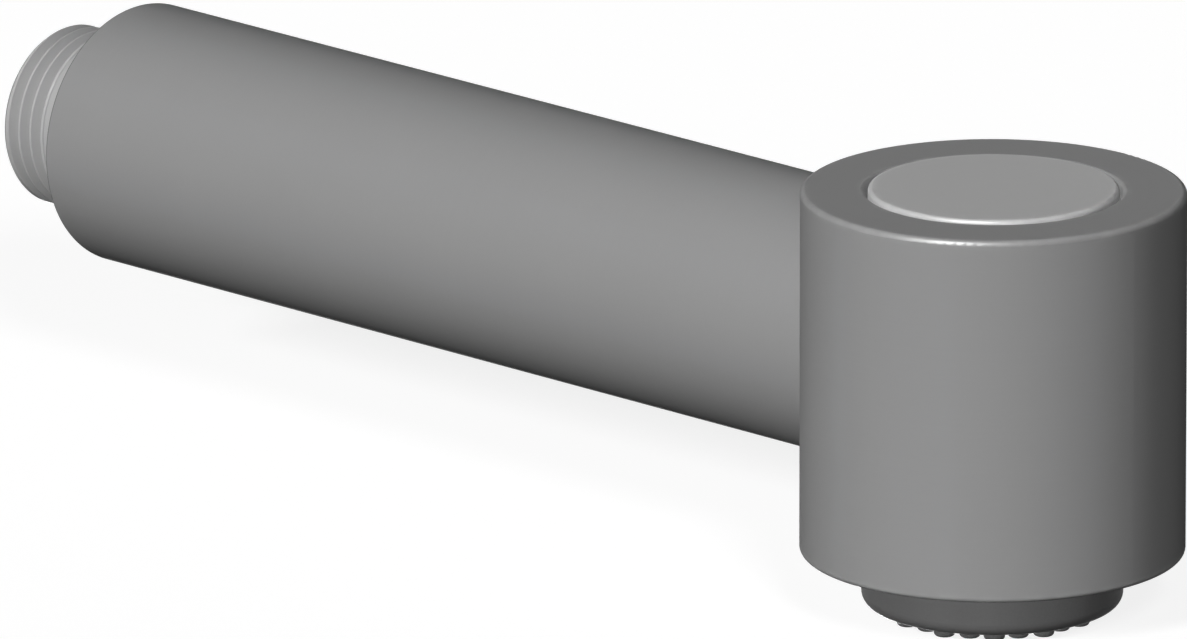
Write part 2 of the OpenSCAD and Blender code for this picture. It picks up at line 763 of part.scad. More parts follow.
// Moulded body of the diverter valve
module valve_body() {
    color("dimgray") difference() {
        about_head() difference() {
            union() {
                band(0, core_r, body_z, cover_z);
                band(0, spigot_r, aerator_seal_top_z, body_z);
            }
            band(0, chamber_r, lower_seat_z, cover_z + past);
            band(0, seat_r, body_z, lower_seat_z + past);
            band(0, spigot_bore_r, aerator_seal_top_z - past, body_z + past);
            ring_groove(cover_ring_at - cover_ring_d / 2, cover_ring_at + cover_ring_d / 2,
                cover_z, 2 * cover_ring_d);
            ring_groove(spigot_ring_floor_r, centre_bore_r, spigot_ring_z,
                spigot_ring_d + collar_ring_room);
        }
        // Gallery that leads the water round to the drillings
        intersection() {
            about_head() band(seat_r, gallery_r, seat_ring_top_z, cover_z + past);
            translate([gallery_sector_x, -head_d, seat_ring_top_z - past])
                cube([2 * head_d, 2 * head_d, head_h]);
        }
        for (k = [0:feed_holes - 1])
            translate([head_x, 0, 0]) rotate(feed_step * (k - (feed_holes - 1) / 2))
                translate([feed_hole_at, 0, body_z - past])
                    cylinder(d = feed_hole_d, h = cover_z - body_z);
        // Inlet port and the socket for the waterway tube
        translate([head_x, 0, 0]) rotate([0, -90, 0]) cylinder(d = tube_bore_d, h = head_r);
        translate([socket_floor_x, 0, 0]) rotate([0, -90, 0]) cylinder(r = socket_r, h = head_r);
    }
}

// Loose upper seat in the valve body
module upper_seat() {
    color("goldenrod") about_head() band(seat_r, chamber_r - fit, upper_seat_z, seat_ring_top_z);
}

// Cover of the valve body, with the spring's well and the stem's gland
module valve_cover() {
    color("slategray") about_head() difference() {
        union() {
            band(0, core_r, cover_z, cover_top_z);
            band(cover_rim_r, core_r, cover_z, plate_z);
            band(0, well_r, well_z, cover_top_z);
        }
        band(pocket_in_r, pocket_out_r, well_floor_z, cover_top_z + past);
        band(0, gland_r, well_z - past, cover_top_z + past);
        band(0, gland_pocket_r, gland_floor_z, cover_top_z + past);
    }
}

// Rubber ring between the valve body and its cover
module cover_seal() {
    color("black") about_head()
        translate([cover_ring_at, cover_z - cover_ring_d / 2]) circle(d = cover_ring_d, $fn = 48);
}

// Rubber ring around the spindle's stem
module stem_seal() {
    color("black") about_head() ring_seal(gland_r, gland_pocket_r, stem_ring_z);
}

// Washer that keeps the stem's ring in its gland
module gland_washer() {
    color("silver") about_head()
        band(gland_r, gland_pocket_r - fit, cover_top_z - gland_washer_t, cover_top_z);
}

// Spindle that joins the button to the valve disc
module spindle() {
    color("goldenrod") about_head() difference() {
        union() {
            band(0, stud_d / 2, boss_z, button_under_z - fit);
            band(0, stem_r, disc_top_z, boss_z);
            band(0, clamp_d / 2, disc_top_z, disc_top_z + clamp_t);
            band(0, pilot_d / 2, disc_z + pilot_short, disc_top_z);
        }
        band(0, screw_d / 2 + fit, disc_z - past, disc_z + screw_hole_depth);
        corner_cut(stud_d / 2, button_under_z - fit, [-1, -1], small_round);
    }
}

// Rubber disc that shuts one seat or the other
module valve_disc() {
    color("black") about_head() difference() {
        band(pilot_d / 2 + fit, disc_r, disc_z, disc_top_z);
        corner_cut(disc_r, disc_z, [-1, 1], small_round);
        corner_cut(disc_r, disc_top_z, [-1, -1], small_round);
    }
}

// Washer under the valve disc
module disc_washer() {
    color("silver") about_head() band(screw_d / 2 + fit, clamp_d / 2, disc_z - washer_t, disc_z);
}

// Screw that holds the valve disc on the spindle
module disc_screw() {
    head_top_z = disc_z - washer_t;
    recess_w = 1.5;
    recess_depth = 1;
    color("silver") difference() {
        about_head() difference() {
            union() {
                band(0, screw_d / 2, head_top_z, disc_z + screw_len);
                band(0, screw_head_d / 2, head_top_z - screw_head_h, head_top_z);
            }
            corner_cut(screw_head_d / 2, head_top_z - screw_head_h, [-1, 1], small_round);
        }
        translate([head_x, 0, head_top_z - screw_head_h - past])
            cylinder(d = recess_w / cos(30), h = past + recess_depth, $fn = 6);
    }
}

// Spring that brings the button back up
module return_spring() {
    color("silver") translate([head_x, 0, well_floor_z + loose / 2])
        coil_spring(return_spring_d, return_wire_d, return_turns, button_under_z - well_floor_z - loose);
}

// Push button: a flat cap with a skirt, a foot and a boss for the spindle
module button_cap() {
    lip_r = (return_spring_d - return_wire_d) / 2 - fit;
    color("lightgray") about_head() difference() {
        union() {
            band(0, button_r, button_under_z, button_top_z);
            band(button_r - button_wall, button_r, foot_z, button_top_z);
            band(button_r - button_wall, foot_r, foot_z, foot_top_z);
            band(0, button_boss_r, boss_z, button_under_z);
            band(lip_r - spring_lip, lip_r, button_under_z - spring_lip, button_under_z);
        }
        band(0, stud_d / 2 + fit, boss_z - past, button_under_z + fit);
        corner_cut(button_r, button_top_z, [-1, -1], button_round);
    }
}

// Spray ring: cup with the face, the centre tube for the aerator and the rim it hangs by
module spray_ring() {
    rim_top_z = base_top_z + rim_t;
    color([0.3, 0.3, 0.3]) difference() {
        about_head() difference() {
            union() {
                band(centre_bore_r, ring_r, face_z, base_top_z);
                band(plenum_r, hang_r, base_top_z, ring_top_z);
                band(centre_bore_r, centre_tube_r, face_z, centre_tube_top_z);
            }
            band(centre_tube_r, plenum_r, mat_z, ring_top_z + past);
            band(plenum_r - past, hang_r - hang_wall, rim_top_z, ring_top_z + past);
            corner_cut(ring_r, face_z, [-1, 1], ring_round);
            corner_cut(centre_bore_r, face_z, [1, 1], bore_break);
        }
        at_nozzles() translate([0, 0, face_z - past])
            cylinder(r = nozzle_r + nozzle_hole_gap, h = face_t + 2 * past);
    }
}

// Flat gasket between the spray ring and the valve body
module ring_gasket() {
    color("black") about_head() band(hang_r - hang_wall, hang_r, ring_top_z, body_z);
}

// Rubber mat whose nozzles stand out of the face
module nozzle_mat() {
    tip_z = face_z - nozzle_out;
    color([0.2, 0.2, 0.2]) difference() {
        union() {
            about_head() band(centre_tube_r + loose, plenum_r - loose, mat_z, mat_top_z);
            at_nozzles() rotate_extrude($fn = 48) difference() {
                band(0, nozzle_r, tip_z, mat_top_z);
                corner_cut(nozzle_r, tip_z, [-1, 1], nozzle_round);
            }
        }
        at_nozzles() translate([0, 0, tip_z - past])
            cylinder(d = nozzle_hole_d, h = nozzle_out + face_t + mat_t + 2 * past, $fn = 24);
    }
}

// Plate that presses the mat down and shares the water out
module distributor_plate() {
    color("white") difference() {
        about_head() band(centre_tube_r + loose, plenum_r - loose, mat_top_z, distributor_top_z);
        at_nozzles() translate([0, 0, mat_top_z - past])
            cylinder(r = distributor_hole_r, h = distributor_t + 2 * past, $fn = 24);
    }
}

// Rubber ring around the valve body's spigot
module outlet_seal() {
    color("black") about_head() ring_seal(spigot_ring_floor_r, centre_bore_r, spigot_ring_z);
}

// Housing of the aerator, screwed into the centre tube
module aerator_housing() {
    color([0.25, 0.25, 0.25]) about_head() union() {
        band(aerator_in_r, aerator_r, aerator_z, aerator_top_z);
        band(aerator_in_r - aerator_lip, aerator_r, aerator_z, honeycomb_z);
    }
}

// Honeycomb that straightens the stream
module aerator_honeycomb() {
    pitch = cell_w + cell_wall;
    color("whitesmoke") translate([head_x, 0, honeycomb_z]) linear_extrude(honeycomb_t) difference() {
        circle(insert_r);
        for (i = [-honeycomb_rings:honeycomb_rings]) for (j = [-honeycomb_rings:honeycomb_rings])
            if (abs(i + j) <= honeycomb_rings)
                translate([pitch * (i + j / 2), pitch * j * sin(60)])
                    rotate(30) circle(d = cell_w / cos(30), $fn = 6);
    }
}

// Stack of fine screens over the honeycomb
module aerator_screens() {
    color("gainsboro") for (k = [0:screens - 1]) {
        z = honeycomb_top_z + k * screen_step;
        translate([head_x, 0, z]) linear_extrude(screen_t) difference() {
            circle(insert_r);
            circle(insert_r - screen_rim_w);
        }
        translate([head_x, 0, z + (screen_t - mesh_t) / 2]) linear_extrude(mesh_t)
            screen_cloth(insert_r - fit);
    }
}

// Cup with a ring of jets that limits the flow
module flow_regulator() {
    color("white") difference() {
        about_head() difference() {
            band(0, insert_r, regulator_z, aerator_top_z);
            band(0, insert_r - regulator_wall, regulator_z + regulator_floor_t, aerator_top_z + past);
        }
        for (k = [0:regulator_jets - 1])
            translate([head_x, 0, 0]) rotate(360 * k / regulator_jets)
                translate([regulator_jets_r, 0, regulator_z - past])
                    cylinder(d = regulator_jet_d, h = regulator_floor_t + 2 * past, $fn = 24);
    }
}

// Flat washer between the aerator and the valve body's spigot
module aerator_seal() {
    color("black") about_head()
        band(spigot_bore_r, aerator_r, aerator_top_z, aerator_seal_top_z);
}

echo(return_spring_gap = (button_under_z - well_floor_z - loose - return_wire_d) / return_turns
    - return_wire_d);
echo(check_spring_gap = (guide_x - poppet_back_x - loose - check_wire_d) / check_turns - check_wire_d);

handle_tube();
joint_sleeve();
head_shell();
base_ring();
end_nut();
inlet_connector();
connector_seal();
filter_washer();
filter_mesh();
check_cartridge();
check_cartridge_seal();
check_poppet();
check_poppet_seal();
check_spring();
check_guide();
waterway_tube();
tube_seals_inlet();
tube_seals_head();
valve_body();
upper_seat();
valve_cover();
cover_seal();
stem_seal();
gland_washer();
spindle();
valve_disc();
disc_washer();
disc_screw();
return_spring();
button_cap();
spray_ring();
ring_gasket();
nozzle_mat();
distributor_plate();
outlet_seal();
aerator_housing();
aerator_honeycomb();
aerator_screens();
flow_regulator();
aerator_seal();
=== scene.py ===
# %% [markdown]
# A hand-held shower spout
#
# The object is a hand spray for a bath or a sink. A round handle carries a threaded stub for
# the hose at its far end, and an upright round head at its near end. The head has a flat push
# button on top, and a dark spray ring with small rubber nozzles below.
#
# Its solids come from the CAD model, which is loaded here as a fixed frame in metres. The
# scene adds the camera, the light, the finishes, and a finer mesh where the solid is coarse.
# The box of the CAD solids is kept, and the floor is laid at its bottom.

# %% Load the fixed frame
import math

import bmesh
import bpy
from mathutils import Matrix, Vector


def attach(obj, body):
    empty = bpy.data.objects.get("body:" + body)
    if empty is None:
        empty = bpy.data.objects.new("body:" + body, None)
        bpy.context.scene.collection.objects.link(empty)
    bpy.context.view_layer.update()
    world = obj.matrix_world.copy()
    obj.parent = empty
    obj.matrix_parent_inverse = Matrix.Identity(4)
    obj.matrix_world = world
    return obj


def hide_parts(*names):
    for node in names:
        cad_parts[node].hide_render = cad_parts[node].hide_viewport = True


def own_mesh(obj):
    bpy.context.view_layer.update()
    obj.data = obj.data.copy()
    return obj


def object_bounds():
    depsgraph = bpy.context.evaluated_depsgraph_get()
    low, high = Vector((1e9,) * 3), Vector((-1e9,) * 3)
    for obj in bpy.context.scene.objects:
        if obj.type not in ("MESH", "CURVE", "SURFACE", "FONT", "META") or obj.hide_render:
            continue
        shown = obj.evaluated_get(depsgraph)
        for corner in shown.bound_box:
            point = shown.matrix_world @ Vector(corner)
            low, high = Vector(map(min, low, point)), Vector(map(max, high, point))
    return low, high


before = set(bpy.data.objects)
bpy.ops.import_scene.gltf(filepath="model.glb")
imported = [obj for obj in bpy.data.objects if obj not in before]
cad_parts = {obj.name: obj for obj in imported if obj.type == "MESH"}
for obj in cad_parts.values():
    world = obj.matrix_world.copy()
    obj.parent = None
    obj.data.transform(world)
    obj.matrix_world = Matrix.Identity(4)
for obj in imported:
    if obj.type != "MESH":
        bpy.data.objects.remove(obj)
cad_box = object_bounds()
MM = 0.001


def in_mm(box):
    """The two corners of a box in millimetres, rounded to be printed."""
    return [[round(value / MM, 2) for value in corner] for corner in box]


print("nodes:", len(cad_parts), "CAD box in mm:", in_mm(cad_box))

# %% [markdown]
# The camera
#
# The photograph is as good as a parallel view, from 45 degrees round and 15 degrees up: the
# handle is just as thick at its far end. A parallel camera would fit it best, but it would cut
# the ends off in a view from the side, because it can't step back. So the scene has the longest
# lens that still reaches the object in every view. Its place comes from a fit of points that
# can be found both in the photograph and on the solids, such as the thread's crests and the
# head's rims.

# %% The camera
LENS = 880.0
SENSOR = 36.0
AZIMUTH = math.radians(44.4788)
ELEVATION = math.radians(15.8128)
DISTANCE = 3.26755
TARGET = Vector((84.405, 0.391, -7.996)) * MM

camera_data = bpy.data.cameras.new("camera")
camera_data.lens = LENS
camera_data.sensor_width = SENSOR
camera_data.clip_start = 0.05
camera_data.clip_end = 50.0
camera = bpy.data.objects.new("camera", camera_data)
to_camera = Vector((math.sin(AZIMUTH) * math.cos(ELEVATION),
                    -math.cos(AZIMUTH) * math.cos(ELEVATION),
                    math.sin(ELEVATION)))
camera.location = TARGET + to_camera * DISTANCE
camera.rotation_euler = (TARGET - camera.location).to_track_quat("-Z", "Y").to_euler()
bpy.context.scene.collection.objects.link(camera)
bpy.context.scene.camera = camera
print("camera at", [round(value, 4) for value in camera.location])

# %% [markdown]
# Finer pieces
#
# Most solids of the CAD model are already as fine as the real piece, and only get a finish.
# A few are coarser: the thread has flat facets, the handle's inlet edge is a plain chamfer, the
# end nut's edges are sharp, the screens are sheets with square holes, and the springs are
# six-sided tubes with open ends. These get a mesh of their own, which stands for the solid and
# stays where it is. All of them are drawn in millimetres, and made smaller when they are done.
#
# The helpers draw a line of points, move, turn and cut a mesh, spin a section all the way round,
# carry a rim on through a list of places, and finish a piece: doubles merged, faces turned
# outwards, smooth but for its creases.

# %% Helpers for pieces
STEPS = 144
FULL_TURN = 2 * math.pi
QUARTER_TURN = math.pi / 2
MIDDLE = (0, 0, 0)
AROUND_X, AROUND_Z = (1, 0, 0), (0, 0, 1)
TOUCH = 0.001    # what is closer than this counts as the same place, in mm or radians
MERGE = 0.0005   # vertices closer than this are doubles
ON_CUT = 0.0001  # vertices closer than this to a cut lie on it


def chain(mesh, points, closed=False):
    """A line of vertices and edges through the points, for a spin to sweep."""
    verts = [mesh.verts.new(point) for point in points]
    pairs = list(zip(verts, verts[1:])) + ([(verts[-1], verts[0])] if closed else [])
    return verts + [mesh.edges.new(pair) for pair in pairs]


def made(result, kind):
    """The vertices, edges or faces among what an operator made."""
    return [item for item in result["geom"] if isinstance(item, kind)]


def move(mesh, along):
    """Moves a whole mesh."""
    bmesh.ops.translate(mesh, verts=mesh.verts, vec=along)


def rotate(mesh, angle, axis):
    """Turns a whole mesh around the X, Y or Z axis."""
    bmesh.ops.rotate(mesh, verts=mesh.verts, cent=MIDDLE, matrix=Matrix.Rotation(angle, 3, axis))


def cut(mesh, point, normal, clear=True):
    """Cuts a whole mesh with a plane, and clears the side that its normal points to."""
    bmesh.ops.bisect_plane(mesh, geom=[*mesh.verts, *mesh.edges, *mesh.faces], dist=ON_CUT,
                           plane_co=point, plane_no=normal, clear_outer=clear)


def spin_round(mesh, section, axis, steps=STEPS):
    """Spins a section all the way round an axis, and joins the last one to the first."""
    bmesh.ops.spin(mesh, geom=section, cent=MIDDLE, axis=axis, angle=FULL_TURN, steps=steps,
                   use_merge=True)


def carry_on(mesh, rim, stations):
    """Extrudes a rim around X through a list of (place along X, distance from X)."""
    for place, reach in stations:
        result = bmesh.ops.extrude_edge_only(mesh, edges=rim)
        verts = set(made(result, bmesh.types.BMVert))
        rim = [edge for edge in made(result, bmesh.types.BMEdge)
               if edge.verts[0] in verts and edge.verts[1] in verts]
        for vert in verts:
            away = Vector((0, vert.co.y, vert.co.z)).normalized() * reach
            vert.co = (place, away.y, away.z)
    return rim


def finished(name, mesh, stands_for, crease=35.0):
    """Makes a piece of a bmesh drawn in millimetres, which stands for a CAD node."""
    bmesh.ops.remove_doubles(mesh, verts=mesh.verts, dist=MERGE)
    bmesh.ops.recalc_face_normals(mesh, faces=mesh.faces)
    bmesh.ops.scale(mesh, verts=mesh.verts, vec=(MM, MM, MM))
    open_edges = sum(len(edge.link_faces) != 2 for edge in mesh.edges)
    data = bpy.data.meshes.new(name)
    mesh.to_mesh(data)
    mesh.free()
    data.shade_smooth()
    data.set_sharp_from_angle(angle=math.radians(crease))
    piece = bpy.data.objects.new(name, data)
    bpy.context.scene.collection.objects.link(piece)
    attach(piece, "root")
    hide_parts(stands_for)
    print(name, "stands for", stands_for, "faces", len(data.polygons), "open edges", open_edges)
    return piece


print("helpers for pieces ready, a full spin has", STEPS, "steps")

# %% [markdown]
# The threaded connector
#
# The hose's nut runs on a thread of 1.814 mm pitch, cut into a plated brass stub. A thread
# could be a long groove subtracted from a cylinder, but that leaves ragged edges. Here the
# line that is spun already has its vertices where the thread has its corners, and each step of
# the spin moves it a little along the axis, so the rows of faces follow the helix. After a
# full turn the rows meet their neighbours and are merged. Only then is each vertex moved in,
# by how deep the groove is there. The groove rises out of the metal at both of its ends: over
# its last half turn, where a fine tool mark beside the last crest shows that the cutter lifted,
# and at the stub's tip, which is tapered so that the hose's nut finds the thread.
#
# A function works out the depth: the straight flanks first, then the rounds of the root and the
# crest, then the two ends, and last the tool mark.

# %% The thread's form
PITCH = 1.814
CREST = 10.4
DEPTH = 1.166
CREST_HALF = 0.12
FLANK_RISE = 1.0 / math.tan(math.radians(27.5))
ROOT_ROUND, CREST_ROUND = 0.25, 0.06
FIRST_CREST = 1.24
THREAD_END = 6.72
FADE_TURNS = 0.5
START_AT, START_TURNS = -0.5, 0.3
PAST_METAL = 0.1  # how far the groove is lifted beyond its own depth at its two ends
MARK_CREST, MARK_FROM, MARK_TO = 3, -0.35, 0.12
MARK_AT, MARK_WIDTH, MARK_DEPTH = 0.25, 0.07, 0.16


def soft_min(a, b, blend):
    """The smaller of two numbers, with the corner between them rounded."""
    mix = max(0.0, 1.0 - abs(a - b) / blend)
    return min(a, b) - mix * mix * blend / 4


def groove_depth(x, turn):
    """How deep the thread is cut at a place: turn is the angle from the -Y side, in turns."""
    along = (x - FIRST_CREST) / PITCH - turn
    crest = math.floor(along + 0.5)
    off = abs(along - crest) * PITCH
    full = soft_min((off - CREST_HALF) * FLANK_RISE, DEPTH, ROOT_ROUND)
    full = -soft_min(-full, 0.0, CREST_ROUND)
    travelled = math.floor(along) + turn
    last = (THREAD_END - FIRST_CREST) / PITCH - 0.5
    ends = ((travelled - last) / FADE_TURNS + 1.0, (START_AT - travelled) / START_TURNS)
    lift = min(1.0, max(0.0, *ends)) * (DEPTH + PAST_METAL)
    mark = 0.0
    if math.floor(along) == crest == MARK_CREST and MARK_FROM < turn < MARK_TO:
        mark = MARK_DEPTH * math.exp(-((off - MARK_AT) / MARK_WIDTH) ** 2)
    return max(0.0, full - lift, mark)


print("groove depth on a crest and between two:",
      [round(groove_depth(FIRST_CREST + PITCH * rows, 0.0), 3) for rows in (1.0, 1.5)])

# %% The threaded connector
# Where the spun line has vertices, from the middle of a crest to the middle of the groove.
ACROSS = (0.0, 0.11, 0.14, 0.165, 0.20, 0.24, 0.28, 0.33, 0.50, 0.66, 0.72, 0.76, 0.80,
          PITCH / 2)
ROWS = range(-2, 8)
ROW_MERGE = 0.002
STUB_END, NECK_R = 13.0, 10.1
TIP, TIP_CHAMFER, TIP_SLOPE = 9.65, 0.45, 0.72
COLLAR, SHOULDER, COLLAR_R = 16.0, 25.5, 13.55
SEAL_GROOVE, SEAL_GROOVE_END, SEAL_GROOVE_R = 19.75, 21.75, 11.8
TAIL_END, TAIL_R = 37.0, 8.6
POCKET_END, POCKET_R = 2.0, 8.0
VALVE_END, VALVE_R = 16.9, 7.55
SOCKET, SOCKET_R, WATERWAY_R = 25.0, 6.05, 5.0
EASE, FINE_EASE, MOUTH_EASE, TAIL_EASE = 0.25, 0.15, 0.3, 0.4

connector = bmesh.new()
offsets = [-across for across in reversed(ACROSS[1:-1])] + list(ACROSS)
line = chain(connector, [(FIRST_CREST + PITCH * row + offset, -CREST, 0)
                         for row in ROWS for offset in offsets])
bmesh.ops.spin(connector, geom=line, cent=MIDDLE, axis=AROUND_X, dvec=(PITCH / STEPS, 0, 0),
               angle=FULL_TURN, steps=STEPS, use_merge=False)
bmesh.ops.remove_doubles(connector, verts=connector.verts, dist=ROW_MERGE)
cut(connector, (0, 0, 0), (-1, 0, 0))
cut(connector, (STUB_END, 0, 0), (1, 0, 0))
cut(connector, (TIP_CHAMFER, 0, 0), (1, 0, 0), clear=False)
for vert in connector.verts:
    x, y, z = vert.co
    turn = math.atan2(-z, -y) / FULL_TURN
    tip = TIP + min(x, TIP_CHAMFER + (x - TIP_CHAMFER) * TIP_SLOPE)
    reach = min(CREST - groove_depth(x, turn), tip)
    away = Vector((0, y, z)).normalized() * reach
    vert.co = (x, away.y, away.z)
rims = [edge for edge in connector.edges if edge.is_boundary]
mouth = [edge for edge in rims if edge.verts[0].co.x < STUB_END / 2]
neck = [edge for edge in rims if edge.verts[0].co.x > STUB_END / 2]
bore = carry_on(connector, mouth, [
    (0, POCKET_R + EASE), (EASE, POCKET_R), (POCKET_END, POCKET_R),
    (POCKET_END, VALVE_R), (VALVE_END, VALVE_R),
    (VALVE_END, WATERWAY_R + FINE_EASE), (VALVE_END + FINE_EASE, WATERWAY_R),
    (SOCKET, WATERWAY_R), (SOCKET, SOCKET_R),
    (TAIL_END - MOUTH_EASE, SOCKET_R), (TAIL_END, SOCKET_R + MOUTH_EASE)])
outside = carry_on(connector, neck, [
    (STUB_END, NECK_R), (COLLAR, NECK_R),
    (COLLAR, COLLAR_R - EASE), (COLLAR + EASE, COLLAR_R),
    (SEAL_GROOVE - FINE_EASE, COLLAR_R), (SEAL_GROOVE, COLLAR_R - FINE_EASE),
    (SEAL_GROOVE, SEAL_GROOVE_R), (SEAL_GROOVE_END, SEAL_GROOVE_R),
    (SEAL_GROOVE_END, COLLAR_R - FINE_EASE), (SEAL_GROOVE_END + FINE_EASE, COLLAR_R),
    (SHOULDER - EASE, COLLAR_R), (SHOULDER, COLLAR_R - EASE), (SHOULDER, TAIL_R),
    (TAIL_END - TAIL_EASE, TAIL_R), (TAIL_END, TAIL_R - TAIL_EASE)])
bmesh.ops.bridge_loops(connector, edges=bore + outside)
finished("threaded_connector", connector, "inlet_connector", crease=28.0)

# %% [markdown]
# The handle tube
#
# The handle is a drawn tube, turned at its inlet end and coped at the other, so that it fits
# the round of the head. Its solid has a plain chamfer around the inlet end, but the belt that
# brushes the tube rounds that edge over, and the photograph shows it as a thin dark line against
# the thread. A bevel of the solid's long triangles would be ragged, so the tube is spun anew,
# with the round in its section. The cope needs no boolean: the last rings are spun flat, and
# then each of their vertices is moved along the tube to the head's cylinder. Two more rings
# across the wall's thickness let it follow that curve.

# %% The handle tube
HANDLE_R, BORE_R, END_BORE_R = 15.0, 12.9, 13.6
HANDLE_END, COPE = 12.0, 125.0
COPE_RINGS = 3
HEAD_AXIS, HEAD_R = 147.0, 21.5
ROUND, ROUND_STEPS, BORE_EASE = 0.3, 6, 0.1

section = [(COPE, HANDLE_R)]
for step in range(ROUND_STEPS + 1):
    angle = step / ROUND_STEPS * QUARTER_TURN
    section.append((HANDLE_END + ROUND * (1 - math.sin(angle)),
                    HANDLE_R - ROUND * (1 - math.cos(angle))))
section += [(HANDLE_END, END_BORE_R + BORE_EASE), (HANDLE_END + BORE_EASE, END_BORE_R),
            (SHOULDER, END_BORE_R), (SHOULDER, BORE_R)]
section += [(COPE, BORE_R + (HANDLE_R - BORE_R) * ring / COPE_RINGS)
            for ring in range(COPE_RINGS)]
tube = bmesh.new()
line = chain(tube, [(place, reach, 0) for place, reach in section], closed=True)
spin_round(tube, line, AROUND_X)
for vert in tube.verts:
    if abs(vert.co.x - COPE) < TOUCH:
        vert.co.x = HEAD_AXIS - math.sqrt(HEAD_R ** 2 - vert.co.y ** 2)
finished("rounded_handle", tube, "handle_tube")

# %% [markdown]
# The end nut
#
# A slotted nut holds the connector in the handle. It could be cut with a boolean, but four
# slots are easy the other way round: the ring is spun, and the parts between the slots are
# pushed out of its end face. Moving the slots' sides straight afterwards gives the flat walls
# that a slotting cutter leaves. A small bevel breaks the edges.

# %% The end nut
NUT_IN, NUT_OUT = 10.6, 13.55
NUT_FACE, NUT_END, SLOT_DEPTH = 13.0, 16.0, 1.4
SLOT_FLOOR = NUT_FACE + SLOT_DEPTH
SLOTS, SLOT_WIDTH, SLOT_STEPS = 4, 2.4, 5
HALF_SLOT = SLOT_STEPS / 2 / STEPS * FULL_TURN
PART_TURN = FULL_TURN / SLOTS
SHARP = math.radians(50)


def from_slot(point):
    """The angle from the middle of the nearest slot."""
    angle = math.atan2(point.z, point.y)
    return (angle + PART_TURN / 2) % PART_TURN - PART_TURN / 2


def at_slots(vert):
    """True from the floor of the slots outwards."""
    return vert.co.x < SLOT_FLOOR + TOUCH


nut = bmesh.new()
line = chain(nut, [(SLOT_FLOOR, NUT_IN, 0), (SLOT_FLOOR, NUT_OUT, 0),
                   (NUT_END, NUT_OUT, 0), (NUT_END, NUT_IN, 0)], closed=True)
rotate(nut, HALF_SLOT, "X")
spin_round(nut, line, AROUND_X)
nut.normal_update()
end_faces = [face for face in nut.faces if all(at_slots(vert) for vert in face.verts)]
teeth = [face for face in end_faces if abs(from_slot(face.calc_center_median())) > HALF_SLOT]
result = bmesh.ops.extrude_face_region(nut, geom=teeth)
bmesh.ops.translate(nut, verts=made(result, bmesh.types.BMVert), vec=(-SLOT_DEPTH, 0, 0))
bmesh.ops.delete(nut, geom=teeth, context="FACES")
for vert in nut.verts:
    off = from_slot(vert.co)
    if at_slots(vert) and abs(abs(off) - HALF_SLOT) < TOUCH:
        middle = math.atan2(vert.co.z, vert.co.y) - off
        reach = math.hypot(vert.co.y, vert.co.z)
        angle = middle + math.copysign(math.asin(SLOT_WIDTH / 2 / reach), off)
        vert.co = (vert.co.x, reach * math.cos(angle), reach * math.sin(angle))
bmesh.ops.recalc_face_normals(nut, faces=nut.faces)
sharp_edges = [edge for edge in nut.edges
               if len(edge.link_faces) == 2 and edge.calc_face_angle() > SHARP]
bmesh.ops.bevel(nut, geom=sharp_edges, offset=FINE_EASE, offset_type="OFFSET", segments=2,
                profile=0.5, affect="EDGES", material=-1, clamp_overlap=True)
finished("slotted_end_nut", nut, "end_nut")

# %% [markdown]
# Woven screens
#
# The inlet's filter and the aerator have discs of woven stainless cloth: each wire goes over
# one crossing wire and under the next. A picture of a weave on a flat disc would do from far
# away, but real wires cast shadows into the holes. Each wire is a thin six-sided bar, cut
# into short lengths and waved up and down. Neighbouring wires wave the other way round. The
# aerator has two such discs, each in a flat ring that holds its wires.

# %% Woven screens
CLOTH_PITCH = 0.75
WIRE, WIRE_SIDES = 0.24, 6
WAVE, WAVE_CUTS = 0.42, 60
FILTER_R, FILTER_AT = 7.2, 1.25
SCREEN_R, SCREENS_AT = 7.0, (-24.9, -24.25)
RIM_IN, RIM_OUT, RIM_HEIGHT, RIM_EASE = 6.35, 7.15, 0.6, 0.05


def weave(cloth, radius, height):
    """Adds the two layers of wires to a bmesh, around Z and at a height."""
    half = int(radius / CLOTH_PITCH - 0.5)
    for layer in (1, -1):
        wires = bmesh.new()
        for row in range(-half, half + 1):
            offset = row * CLOTH_PITCH
            reach = math.sqrt(radius ** 2 - offset ** 2)
            lying = Matrix.Translation((0, offset, 0)) @ Matrix.Rotation(QUARTER_TURN, 4, "Y")
            bmesh.ops.create_cone(wires, cap_ends=True, segments=WIRE_SIDES, radius1=WIRE / 2,
                                  radius2=WIRE / 2, depth=2 * reach, matrix=lying)
        long_edges = [edge for edge in wires.edges if edge.calc_length() > 2 * WIRE]
        bmesh.ops.subdivide_edges(wires, edges=long_edges, cuts=WAVE_CUTS)
        for vert in wires.verts:
            row = round(vert.co.y / CLOTH_PITCH)
            phase = math.pi * (vert.co.x / CLOTH_PITCH + row)
            vert.co.z += layer * WIRE * WAVE * math.cos(phase)
        if layer < 0:
            rotate(wires, QUARTER_TURN, "Z")
        move(wires, (0, 0, height))
        layer_mesh = bpy.data.meshes.new("wires")
        wires.to_mesh(layer_mesh)
        wires.free()
        cloth.from_mesh(layer_mesh)
        bpy.data.meshes.remove(layer_mesh)


filter_cloth = bmesh.new()
weave(filter_cloth, FILTER_R, 0.0)
rotate(filter_cloth, QUARTER_TURN, "Y")
move(filter_cloth, (FILTER_AT, 0, 0))
finished("woven_filter", filter_cloth, "filter_mesh")

